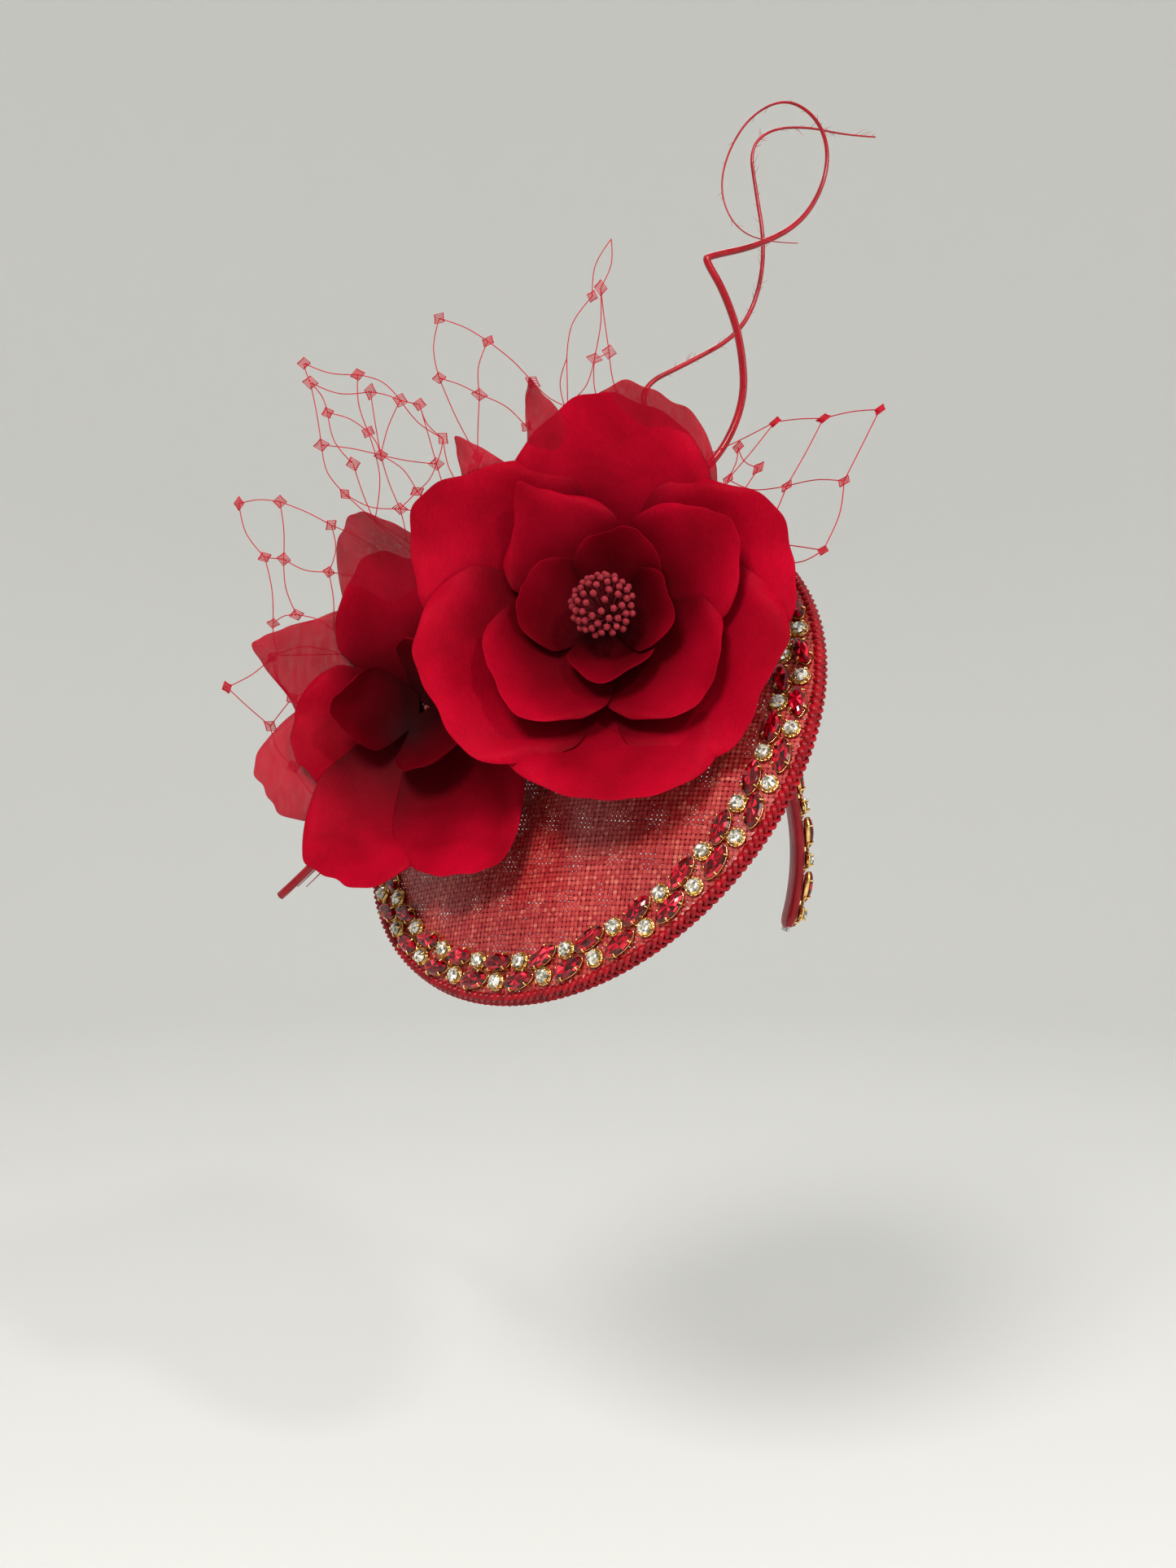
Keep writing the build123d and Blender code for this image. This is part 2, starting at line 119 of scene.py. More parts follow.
def make_stage():
    """A pale round floor that sweeps up into a wall far behind, whichever way one looks."""
    floor_height, flat, sweep, top = -0.36, 1.6, 1.4, 3.4
    profile = [(0.0, 0.0), (flat, 0.0)]
    profile += [(flat + sweep * math.sin(a), sweep * (1 - math.cos(a)))
                for a in np.linspace(0.1, math.pi / 2, 16)]
    profile.append((flat + sweep, top))
    turns = 96
    verts = [(r * math.cos(t), r * math.sin(t), floor_height + h)
             for r, h in profile for t in np.arange(turns) * 2 * math.pi / turns]
    corners = ((0, 0), (0, 1), (1, 1), (1, 0))
    faces = [[(i + di) * turns + (j + dj) % turns for di, dj in corners]
             for i in range(len(profile) - 1) for j in range(turns)]
    mesh = bpy.data.meshes.new("stage_floor")
    mesh.from_pydata(verts, [], faces)
    mesh.polygons.foreach_set("use_smooth", [True] * len(faces))
    floor = bpy.data.objects.new("stage_floor", mesh)
    bpy.context.scene.collection.objects.link(floor)
    paint = bpy.data.materials.new("stage_paint")
    paint.use_nodes = True
    shader = paint.node_tree.nodes["Principled BSDF"]
    shader.inputs["Base Color"].default_value = (0.72, 0.725, 0.71, 1)
    shader.inputs["Roughness"].default_value = 0.9
    mesh.materials.append(paint)
    floor.visible_shadow = False


def make_lights():
    world = bpy.data.worlds.new("studio")
    bpy.context.scene.world = world
    world.use_nodes = True
    world.node_tree.nodes["Background"].inputs["Color"].default_value = (1, 0.99, 0.97, 1)
    world.node_tree.nodes["Background"].inputs["Strength"].default_value = 0.6
    area_light("key", (-0.9, -1.5, 1.3), (0, 0, 0.05), 0.6, 38, (1, 0.97, 0.93))
    area_light("fill", (1.5, -1.0, 0.5), (0, 0, 0.05), 0.8, 8, (0.95, 0.97, 1))
    area_light("back", (0.3, 1.5, 1.6), (0, 0, 0.1), 0.8, 7, (1, 0.98, 0.96))
    area_light("spark", (0.25, -1.2, 0.9), (0, 0, 0.0), 0.12, 6, (1, 0.96, 0.9))


# ---------------------------------------------------------------- materials
class Paint:
    """A node material built round one Principled shader."""

    def __init__(self, name, **values):
        self.material = bpy.data.materials.new(name)
        self.material.use_nodes = True
        self.tree = self.material.node_tree
        self.shader = self.tree.nodes["Principled BSDF"]
        self.height = None
        for socket, value in values.items():
            self.shader.inputs[socket.replace("_", " ")].default_value = value

    def node(self, kind, **settings):
        node = self.tree.nodes.new(kind)
        for key, value in settings.items():
            if key in node.inputs:
                node.inputs[key].default_value = value
            else:
                setattr(node, key, value)
        return node

    def link(self, a, b):
        self.tree.links.new(a, b)

    def noise(self, scale, stretch=(1, 1, 1), detail=4):
        place = self.node("ShaderNodeTexCoord")
        mapping = self.node("ShaderNodeMapping")
        mapping.inputs["Scale"].default_value = stretch
        noise = self.node("ShaderNodeTexNoise", Scale=scale, Detail=detail)
        self.link(place.outputs["Object"], mapping.inputs["Vector"])
        self.link(mapping.outputs["Vector"], noise.inputs["Vector"])
        return noise.outputs["Fac"]

    def tone(self, name="tone"):
        return self.node("ShaderNodeAttribute", attribute_name=name).outputs["Fac"]

    def ramp(self, source, *stops):
        ramp = self.node("ShaderNodeValToRGB")
        while len(ramp.color_ramp.elements) < len(stops):
            ramp.color_ramp.elements.new(0.5)
        for element, (place, colour) in zip(ramp.color_ramp.elements, stops):
            element.position = place
            element.color = (*colour, 1)
        self.link(source, ramp.inputs["Fac"])
        return ramp.outputs["Color"]

    def multiply(self, a, b, amount=1.0):
        mix = self.node("ShaderNodeMix", data_type="RGBA", blend_type="MULTIPLY")
        mix.inputs["Factor"].default_value = amount
        self.link(a, mix.inputs["A"])
        self.link(b, mix.inputs["B"])
        return mix.outputs["Result"]

    def colour(self, output):
        self.link(output, self.shader.inputs["Base Color"])

    def roughness(self, source, low, high):
        spread = self.node("ShaderNodeMapRange")
        spread.inputs["To Min"].default_value = low
        spread.inputs["To Max"].default_value = high
        self.link(source, spread.inputs["Value"])
        self.link(spread.outputs["Result"], self.shader.inputs["Roughness"])

    def bump(self, source, strength, distance):
        bump = self.node("ShaderNodeBump", Strength=strength, Distance=distance)
        self.link(source, bump.inputs["Height"])
        if self.height:
            self.link(self.height, bump.inputs["Normal"])
        self.height = bump.outputs["Normal"]
        self.link(self.height, self.shader.inputs["Normal"])


def grey(v):
    return (v, v, v)


def silk_paint():
    p = Paint("silk", Specular_IOR_Level=0.03, Sheen_Weight=0.05, Sheen_Roughness=0.4)
    p.shader.inputs["Sheen Tint"].default_value = (1.0, 0.06, 0.12, 1)
    broad = p.ramp(p.noise(30), (0.3, (0.23, 0.0002, 0.007)), (0.7, (0.42, 0.0006, 0.016)))
    # painted shade: the petal's per-point value darkens the silk towards each petal's foot, deep in the
    # flower's heart
    throat_shade = p.ramp(p.tone(), (0.0, grey(0.05)), (0.35, grey(0.30)), (0.75, grey(0.80)), (1.0, grey(1.0)))
    weave = p.ramp(p.noise(1500, (1, 1, 0.25), 2), (0.35, grey(0.86)), (0.65, grey(1.0)))
    p.colour(p.multiply(p.multiply(broad, throat_shade), weave))
    p.roughness(p.noise(900), 0.48, 0.66)
    p.bump(p.noise(2600, (1, 1, 1), 2), 0.3, 0.0002)
    p.bump(p.noise(60, (1, 1, 1), 3), 0.5, 0.0016)
    return p.material


def organza_paint():
    p = Paint("organza", Roughness=0.5, Specular_IOR_Level=0.05, Sheen_Weight=0.04)
    p.colour(p.ramp(p.noise(60, (1, 1, 0.3)), (0.3, (0.26, 0.0002, 0.008)), (0.7, (0.42, 0.001, 0.018))))
    fibres = p.node("ShaderNodeMapRange")
    fibres.inputs["To Min"].default_value = 0.66
    fibres.inputs["To Max"].default_value = 0.90
    p.link(p.noise(500, (1, 1, 0.12), 3), fibres.inputs["Value"])
    p.link(fibres.outputs["Result"], p.shader.inputs["Alpha"])
    p.bump(p.noise(420, (1, 1, 0.15), 3), 0.4, 0.0004)
    return p.material


def straw_paint():
    p = Paint("sinamay", Specular_IOR_Level=0.5, Coat_Weight=0.12, Coat_Roughness=0.3)
    # painted light: the dark low end is painted shade where a ribbon dips under, the pale top end painted
    # glints on the shiny straw, the middle the straw's own red
    threads = p.ramp(p.tone(), (0.0, (0.12, 0.001, 0.004)), (0.45, (0.34, 0.008, 0.014)),
                     (0.8, (0.46, 0.05, 0.042)), (1.0, (0.60, 0.19, 0.13)))
    clouds = p.ramp(p.noise(22), (0.3, grey(0.78)), (0.75, grey(1.0)))
    p.colour(p.multiply(threads, clouds))
    p.roughness(p.noise(700), 0.2, 0.5)
    p.bump(p.noise(2400, (1, 1, 1), 2), 0.3, 0.0002)
    return p.material


def braid_paint():
    p = Paint("braid", Specular_IOR_Level=0.2, Coat_Weight=0.06, Coat_Roughness=0.25)
    p.colour(p.ramp(p.noise(240), (0.3, (0.14, 0.0, 0.003)), (0.7, (0.36, 0.0004, 0.008))))
    p.roughness(p.noise(600), 0.22, 0.5)
    p.bump(p.tone("strands"), 0.8, 0.0003)
    return p.material


def satin_paint():
    p = Paint("satin_band", Specular_IOR_Level=0.3, Sheen_Weight=0.08)
    p.colour(p.ramp(p.noise(50, (1, 3, 1)), (0.3, (0.20, 0.0004, 0.005)), (0.7, (0.32, 0.002, 0.012))))
    p.roughness(p.noise(300), 0.28, 0.42)
    p.bump(p.noise(110, (1, 4, 1), 3), 0.5, 0.0008)
    p.bump(p.noise(2600, (1, 1, 1), 2), 0.15, 0.0001)
    return p.material


def gold_paint():
    p = Paint("gold", Metallic=1.0)
    p.colour(p.ramp(p.noise(400), (0.3, (0.72, 0.43, 0.12)), (0.7, (0.95, 0.70, 0.30))))
    p.roughness(p.noise(500), 0.12, 0.32)
    p.bump(p.noise(900), 0.3, 0.0002)
    return p.material


def ruby_paint():
    p = Paint("ruby", Roughness=0.04, Specular_IOR_Level=0.35, Coat_Weight=0.25, Coat_Roughness=0.02)
    # painted reflections: each facet's random value picks a red from near black to bright, standing in for
    # flashes of light inside the stone
    p.colour(p.ramp(p.tone(), (0.0, (0.02, 0.0, 0.0)), (0.5, (0.16, 0.0, 0.004)),
                    (0.85, (0.50, 0.001, 0.016)), (1.0, (0.95, 0.05, 0.09))))
    p.bump(p.noise(300), 0.1, 0.0001)
    return p.material


def crystal_paint():
    p = Paint("crystal", Roughness=0.03, Specular_IOR_Level=0.9, Coat_Weight=1.0, Coat_Roughness=0.02,
              Metallic=0.35)
    # painted reflections: each facet's random value picks a grey from dark to white, standing in for
    # flashes of light in the stone
    p.colour(p.ramp(p.tone(), (0.0, (0.10, 0.09, 0.06)), (0.4, (0.45, 0.42, 0.34)),
                    (0.75, (0.85, 0.84, 0.78)), (1.0, (1.0, 1.0, 0.97))))
    p.bump(p.noise(300), 0.1, 0.0001)
    return p.material


def quill_paint():
    p = Paint("quill", Specular_IOR_Level=0.25, Coat_Weight=0.15, Coat_Roughness=0.12)
    p.colour(p.ramp(p.noise(120, (1, 1, 0.3)), (0.3, (0.20, 0.0, 0.004)), (0.7, (0.36, 0.0006, 0.010))))
    p.roughness(p.noise(260), 0.16, 0.36)
    p.bump(p.noise(700, (1, 1, 0.2)), 0.3, 0.0002)
    return p.material


def dull_paint(name, dark, light, scale, rough):
    p = Paint(name, Specular_IOR_Level=0.3)
    p.colour(p.ramp(p.noise(scale), (0.3, dark), (0.7, light)))
    p.roughness(p.noise(scale * 2), rough - 0.1, rough + 0.1)
    p.bump(p.noise(scale * 3), 0.5, 0.0003)
    return p.material


silk, organza, straw, braid_silk = silk_paint(), organza_paint(), straw_paint(), braid_paint()
satin, gold, ruby, crystal = satin_paint(), gold_paint(), ruby_paint(), crystal_paint()
quill_skin = quill_paint()
filament = dull_paint("veiling", (0.34, 0.0, 0.008), (0.50, 0.001, 0.018), 300, 0.5)
pollen = dull_paint("stamen", (0.15, 0.003, 0.010), (0.33, 0.022, 0.035), 900, 0.75)
thread = dull_paint("thread", (0.30, 0.0, 0.01), (0.46, 0.01, 0.02), 800, 0.6)
steel = dull_paint("band_core", (0.45, 0.45, 0.46), (0.62, 0.62, 0.63), 300, 0.35)
steel.node_tree.nodes["Principled BSDF"].inputs["Metallic"].default_value = 1.0
CAD_PAINT = {"rim_wire": steel, "band_core_crown": steel, "band_left_core": steel,
             "band_right_core": steel, "band_stitches": thread}


# ---------------------------------------------------------------- mesh making
def make_piece(name, verts, faces, material, body, slot, nodes=(), smooth=True, tones=None):
    """A mesh object from millimetre points and faces of one size, riding on a body."""
    faces = np.asarray(faces, np.int32)
    mesh = bpy.data.meshes.new(name)
    mesh.vertices.add(len(verts))
    mesh.vertices.foreach_set("co", (np.asarray(verts) * MM).astype(np.float32).ravel())
    mesh.loops.add(faces.size)
    mesh.loops.foreach_set("vertex_index", faces.ravel())
    mesh.polygons.add(len(faces))
    mesh.polygons.foreach_set("loop_start", np.arange(0, faces.size, faces.shape[1], dtype=np.int32))
    mesh.update(calc_edges=True)
    mesh.validate()
    mesh.polygons.foreach_set("use_smooth", [smooth] * len(mesh.polygons))
    for key, (domain, values) in (tones or {}).items():
        attribute = mesh.attributes.new(key, "FLOAT", domain)
        attribute.data.foreach_set("value", np.asarray(values, np.float32))
    mesh.materials.append(material)
    piece = bpy.data.objects.new(name, mesh)
    bpy.context.scene.collection.objects.link(piece)
    if body:
        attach(piece, body)
    if nodes:
        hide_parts(*nodes)
    return piece


def gather(parts):
    """Joins (points, faces) pairs into one."""
    verts, faces, count = [], [], 0
    for v, f in parts:
        verts.append(v)
        faces.append(np.asarray(f) + count)
        count += len(v)
    return np.concatenate(verts), np.concatenate(faces)


def grid_faces(rows, columns, wrap=False, wrap_rows=False):
    """The quads of a grid of points, row by row, closed into a tube or a ring if asked."""
    i, j = np.meshgrid(np.arange(rows if wrap_rows else rows - 1),
                       np.arange(columns if wrap else columns - 1), indexing="ij")
    here, below, k = i * columns, (i + 1) % rows * columns, (j + 1) % columns
    return np.stack([here + j, here + k, below + k, below + j], -1).reshape(-1, 4)


def tube(path, radius, sides=8, flat=1.0, side_way=None, wrap=False):
    """A tube along a path, with capped ends unless it wraps into a ring.  flat squashes it across
    side_way, the direction that its first side faces."""
    path = np.asarray(path, float)
    count = len(path)
    radius = np.broadcast_to(np.asarray(radius, float), (count,))
    if wrap:
        ahead = np.roll(path, -1, 0) - np.roll(path, 1, 0)
    else:
        ahead = np.gradient(path, axis=0)
    ahead /= np.linalg.norm(ahead, axis=1)[:, None]
    if side_way is None:
        side = np.zeros_like(path)
        s = np.cross(ahead[0], (0.3, 0.5, 0.81))
        for i in range(count):
            s = s - ahead[i] * (s @ ahead[i])
            s /= np.linalg.norm(s)
            side[i] = s
    else:
        side = side_way - ahead * (side_way * ahead).sum(1)[:, None]
        side /= np.linalg.norm(side, axis=1)[:, None]
    up = np.cross(ahead, side)
    t = np.arange(sides) * 2 * np.pi / sides
    ring = (path[:, None] + radius[:, None, None] * (np.cos(t)[None, :, None] * side[:, None]
                                                     + flat * np.sin(t)[None, :, None] * up[:, None]))
    verts = ring.reshape(-1, 3)
    if wrap:
        return verts, grid_faces(count, sides, wrap=True, wrap_rows=True)
    faces = grid_faces(count, sides, wrap=True)
    caps = []
    for first, step in ((0, 1), ((count - 1) * sides, -1)):
        for k in range(1, sides - 2, 2):
            quad = [first, first + k, first + k + 1, first + k + 2]
            caps.append(quad[::-1] if step > 0 else quad)
    return verts, np.concatenate([faces, np.array(caps)])


def spline(points, count):
    """A smooth line that starts and ends at the first and last points and rounds the others."""
    points = np.asarray(points, float)
    spans = len(points) - 2
    out = []
    for t in np.linspace(0, spans, count):
        i = min(int(t), spans - 1)
        f = t - i
        a = points[i] if i == 0 else (points[i] + points[i + 1]) / 2
        c = points[i + 2] if i == spans - 1 else (points[i + 1] + points[i + 2]) / 2
        out.append((1 - f) ** 2 * a + 2 * f * (1 - f) * points[i + 1] + f * f * c)
    return np.array(out)


# ---------------------------------------------------------------- sinamay disc
def woven_sheet(name, drop, angle, pitch, node, colour_shift):
    """One layer of open straw weave on the dome: ribbons over and under each other, painted lighter where
    they ride over and darker where they dip under.
    """
    edge = SHEET_EDGE + 0.4
    turn_cos, turn_sin = math.cos(angle), math.sin(angle)
    for way, kind in enumerate(("warp", "weft")):
        parts, tones = [], []
        for k in range(-int(edge / pitch), int(edge / pitch) + 1):
            across = k * pitch + rng.normal(0, 0.10)
            reach = math.sqrt(max(edge ** 2 - across ** 2, 0))
            if reach < 2 * pitch:
                continue
            first = int(-reach / pitch) - 1
            steps = np.arange(first, -first + 1)
            along = np.clip(steps * pitch, -reach, reach)
            width = pitch * (0.31 + 0.08 * rng.random())
            wander = 0.12 * np.sin(along / 9 + rng.random() * 6)
            over = np.where((steps + k + way) % 2 == 0, 1, -1)
            lift = 0.17 * over
            a, b = (along, across + wander) if way == 0 else (across + wander, along)
            rows = []
            for side in (-width, width):
                x, y = (a, b + side) if way == 0 else (a + side, b)
                u, v = turn_cos * x - turn_sin * y, turn_sin * x + turn_cos * y
                distance = np.minimum(np.hypot(u, v), edge)
                rows.append(np.stack([u, v, dome(distance) - drop + lift], 1))
            strip = np.stack(rows, 1).reshape(-1, 3)
            parts.append((disc.at(strip), grid_faces(len(steps), 2)))
            # painted light: a random value for each thread and step, raised where the ribbon rides over and
            # lowered where it dips under; the highest steps come out as pale painted glints
            shade = rng.normal(0.42 + colour_shift, 0.07) + 0.26 * over + rng.normal(0, 0.12, len(steps))
            tones.append(np.repeat(np.clip(shade, 0, 1), 2))
        piece = make_piece(f"{name}_{kind}", *gather(parts), straw, "hat", "sinamay", (node,), True,
                           {"tone": ("POINT", np.concatenate(tones))})


def edge_braid():
    """Three strands braided flat round the rim's side."""
    cycles, samples = 74, 14
    t = np.arange(cycles * samples) * 2 * np.pi / samples
    around = t / cycles
    parts, ridges = [], []
    mid_height = (BRAID_ABOVE - BRAID_BELOW) / 2
    strands, swing, weave_depth, strand_radius, flatness, sides = 3, 2.45, 0.62, 1.55, 0.62, 10
    for strand in range(strands):
        phase = t + strand * 2 * np.pi / strands
        height = mid_height + swing * np.sin(phase)
        depth = SHEET_EDGE + BRAID_MIDDLE + weave_depth * np.sin(2 * phase)
        path = np.stack([depth * np.cos(around), depth * np.sin(around), height], 1)
        outward = np.stack([np.cos(around), np.sin(around), 0 * around], 1)
        parts.append(tube(disc.at(path), strand_radius, sides, flatness,
                          outward @ np.stack([disc.x, disc.y, disc.z]), wrap=True))
        ridge = 0.5 + 0.5 * np.sin(np.arange(sides) * 2 * np.pi / sides * 3)[None] * np.ones((len(t), 1))
        ridges.append(ridge.ravel())
    make_piece("rim_braid", *gather(parts), braid_silk, "hat", "braid", ("edge_braid",), True,
               {"strands": ("POINT", np.concatenate(ridges))})


# ---------------------------------------------------------------- stones and cups
TRIM_COUNT, TRIM_PITCH, TRIM_ROWS, TRIM_SKEW = 28, 25.1, (112.8, 105.1), 14
STONE_LENGTH, STONE_WIDTH, ROUND_RADIUS = 15, 7, 3.1
CUP_DEPTH, CUP_FLOOR, CROWN = 2.6, 0.6, 1.3


def circle(count):
    """Points round a circle of radius 1."""
    t = np.arange(count) * 2 * np.pi / count
    return np.stack([np.cos(t), np.sin(t)], 1)


def lens(length, width, count):
    """Points round a pointed oval."""
    t = np.arange(count) * 2 * np.pi / count
    return np.stack([length / 2 * np.cos(t), width / 2 * np.sin(t) * np.abs(np.sin(t)) ** 0.25], 1)


def rings_mesh(outline, levels):
    """Stacks scaled copies of an outline: levels are (scale, height)."""
    count = len(outline)
    verts = np.concatenate([np.column_stack([outline * s, np.full(count, h)]) for s, h in levels])
    return verts, grid_faces(len(levels), count, wrap=True)


def cut_stone(outline):
    """A faceted stone: girdle, crown facets, table and a shallow pavilion."""
    levels = [(0.02, CUP_FLOOR + 0.1), (0.62, CUP_FLOOR + 0.7), (0.985, CUP_DEPTH - 0.5),
              (0.985, CUP_DEPTH - 0.1), (0.80, CUP_DEPTH + CROWN * 0.62), (0.56, CUP_DEPTH + CROWN),
              (0.02, CUP_DEPTH + CROWN)]
    return rings_mesh(outline, levels)


def cup(outline, beads):
    """An open metal setting: a walled cup with prongs folded over the stone's edge."""
    rim = CUP_DEPTH - 0.9
    wall = [(0.10, 0.0), (0.86, 0.0), (0.97, 0.5), (1.03, rim), (0.99, rim), (0.93, 0.9), (0.10, 0.7)]
    parts = [rings_mesh(outline, wall)]
    length, width = np.abs(outline).max(0)
    round_cup = abs(length - width) < 0.5
    prong_x, prong_y = (0.74 * length, 0.74 * width) if round_cup else (0.55 * length, 0.86 * width)
    for x, y in ((i * prong_x, j * prong_y) for i in (-1, 1) for j in (-1, 1)):
        lean = unit((x * 0.25, y))
        foot = np.array((x, y, 0.3)) + np.append(lean * 0.35, 0)
        top = np.array((x, y, CUP_DEPTH + 0.5)) + np.append(lean * 0.30, 0)
        tip = np.array((x, y, CUP_DEPTH + 1.0)) - np.append(lean * 0.85, 0)
        parts.append(tube(spline([foot, (foot + top) / 2, top, tip], 9), np.linspace(0.5, 0.36, 9), 6))
    if beads:
        t = np.arange(0, 48) * 2 * np.pi / 48
        reach = length + 0.42
        ring = np.stack([reach * np.cos(t), reach * np.sin(t), 0.9 + 0.18 * np.cos(24 * t)], 1)
        parts.append(tube(ring, 0.36 + 0.1 * np.cos(12 * t), 6, wrap=True))
    return gather(parts)


def placed(shape, places):
    """Copies of a shape at places, each an origin and three axes."""
    verts, faces = shape
    return gather([(origin + verts @ axes, faces) for origin, axes in places])


def turned(x, y, degrees):
    """Two square directions after a turn in their own plane."""
    a = math.radians(degrees)
    return x * math.cos(a) + y * math.sin(a), y * math.cos(a) - x * math.sin(a)


def rim_place(row, steps, skew):
    """A place on the dome in the given row, so many half pitches round from the disc's x axis."""
    radius, angle = TRIM_ROWS[row], math.radians(steps * 180 / TRIM_COUNT)
    slope = math.asin(radius / DOME_RADIUS)
    out = disc.x * math.cos(angle) + disc.y * math.sin(angle)
    tangent = disc.y * math.cos(angle) - disc.x * math.sin(angle)
    up = disc.z * math.cos(slope) + out * math.sin(slope)
    x, y = turned(tangent, np.cross(up, tangent), skew)
    x, y = turned(x, y, rng.normal(0, 3))
    origin = disc.at((radius * math.cos(angle), radius * math.sin(angle), float(dome(radius)) + 0.3))[0]
    return origin, np.stack([x, y, up])


BAND_RADIUS, BAND_THICK, BAND_WIDTH, ARM_RADIUS = 72, 5, 12, 110
HALF_ARC, ARM_ARC = 60, 48.5


def arm_centre(side):
    """The centre of an arm's arc; side is 1 for the wearer's left and -1 for their right."""
    shift, half = ARM_RADIUS - BAND_RADIUS, math.radians(HALF_ARC)
    return np.array((-side * shift * math.sin(half), 0, -shift * math.cos(half)))


def arm_place(side, degrees_down, across, skew):
    """A place on an arm's outer face, so far round from straight up."""
    a = math.radians(degrees_down)
    up = np.array((side * math.sin(a), 0, math.cos(a)))
    down = np.array((side * math.cos(a), 0, -math.sin(a)))
    x, _ = turned(down, np.array((0, side * 1.0, 0)), skew * side)
    origin = arm_centre(side) + up * (ARM_RADIUS + BAND_THICK + 0.2) + np.array((0, across, 0))
    return origin, np.stack([x, np.cross(up, x), up])


def trim(prefix, body, long_places, round_places, nodes):
    """The jewelled chain: gold cups, ruby marquises and clear rounds."""
    marquise = lens(STONE_LENGTH * 1.03, STONE_WIDTH * 1.06, 16)
    disk = circle(12) * ROUND_RADIUS
    wide = circle(24) * (ROUND_RADIUS + 0.1)
    cups = gather([placed(cup(lens(STONE_LENGTH + 0.3, STONE_WIDTH + 0.2, 28), False), long_places),
                   placed(cup(wide, True), round_places)])
    make_piece(f"{prefix}_cups", *cups, gold, body, "gold", (nodes[0],))
    sorts = (("rubies", marquise, long_places, ruby, "ruby", nodes[1]),
             ("crystals", disk, round_places, crystal, "crystal", nodes[2]))
    for name, outline, places, paint, slot, node in sorts:
        verts, faces = placed(cut_stone(outline), places)
        # painted reflections: a random brightness on each facet stands for the stone's flashes of light
        make_piece(f"{prefix}_{name}", verts, faces, paint, body, slot, (node,), False,
                   {"tone": ("FACE", rng.random(len(faces)) ** 1.4)})


def rim_trim():
    """The chain round the rim: two staggered rows."""
    long_places = [rim_place(row, 2 * i + row, TRIM_SKEW) for row in (0, 1) for i in range(TRIM_COUNT)]
    round_places = [rim_place(row, 2 * i + 1 - row, 0) for row in (0, 1) for i in range(TRIM_COUNT)]
    trim("rim", "hat", long_places, round_places, ("rim_settings", "rim_ruby_stones", "rim_clear_stones"))


def arm_trim(side, body, first):
    """The chain on an arm, from the first angle to just above the tip."""
    step = math.degrees(TRIM_PITCH / 2 / (ARM_RADIUS + BAND_THICK))
    last = HALF_ARC + ARM_ARC - 3
    row_across = (TRIM_ROWS[0] - TRIM_ROWS[1]) / 2
    long_places, round_places = [], []
    for i in range(int((last - first) / step) + 1):
        for row in (0, 1):
            across = row_across * (1 - 2 * row)
            if (i + row) % 2:
                round_places.append(arm_place(side, first + i * step, across, 0))
            else:
                long_places.append(arm_place(side, first + i * step, across, TRIM_SKEW))
    nodes = (f"{body}_settings", f"{body}_ruby_stones", f"{body}_clear_stones")
    trim(body, body, long_places, round_places, nodes)


# ---------------------------------------------------------------- headband
def band_half(side, body):
    """The satin-covered band from the top of the head to one tip, bending at the flex seam."""
    crown = np.radians(np.arange(0, HALF_ARC, 1.5))
    arm = np.radians(np.linspace(HALF_ARC, HALF_ARC + ARM_ARC - 0.3, 44))
    middle, outward = [], []
    for angles, centre, radius in ((crown, np.zeros(3), BAND_RADIUS), (arm, arm_centre(side), ARM_RADIUS)):
        for a in angles:
            n = np.array((side * math.sin(a), 0, math.cos(a)))
            middle.append(centre + n * (radius + BAND_THICK / 2))
            outward.append(n)
    t = np.arange(28) * 2 * np.pi / 28
    half_wide, half_thick = BAND_WIDTH / 2, BAND_THICK / 2
    y = half_wide * np.sign(np.cos(t)) * np.abs(np.cos(t)) ** 0.55
    h = half_thick * np.sign(np.sin(t)) * np.abs(np.sin(t)) ** 0.75
    rows = []
    last = len(middle) - 1
    for i, (m, n) in enumerate(zip(middle, outward)):
        close = min(1.0, math.sqrt(max(0.02, 1 - max(0, (i - last + 3) / 3) ** 2)))
        pucker = 1 + 0.018 * math.sin(i * 2.1) * np.sign(np.cos(t)) * (np.abs(np.cos(t)) > 0.9)
        rows.append(m + np.outer(h * close, n) + np.outer(y * close * pucker, (0, 1, 0)))
    verts = np.concatenate(rows)
    faces = grid_faces(len(rows), len(t), wrap=True)
    top = (len(rows) - 1) * len(t)
    caps = [(top, top + k, top + k + 1, top + k + 2) for k in range(1, len(t) - 2, 2)]
    faces = np.concatenate([faces, caps])
    nodes = (f"{body}_cover", "band_cover_crown")
    piece = make_piece(f"satin_{body}", verts, faces, satin, None, "satin_band", nodes)
    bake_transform(piece)


# ---------------------------------------------------------------- silk flowers
ROSE_RADIUS, BLOOM_RADIUS, PETAL_STEP = 93, 84, 1.1


def flower(foot, lean):
    """A flower's own plane, from its foot over the disc and its axis in the fan's directions."""
    axis = unit(fan.x * lean[0] + fan.y * lean[1] + fan.z * lean[2])
    return Place(disc.at(foot)[0], np.cross(fan.y, axis), axis)


rose = flower((47.5, -12, 42), (-0.12, 0.17, 0.98))
bloom = flower((-29.5, 43, 47), (-0.30, -0.04, 0.95))
ROSE_BOWL = rose.at((0, 0, ROSE_RADIUS))[0]


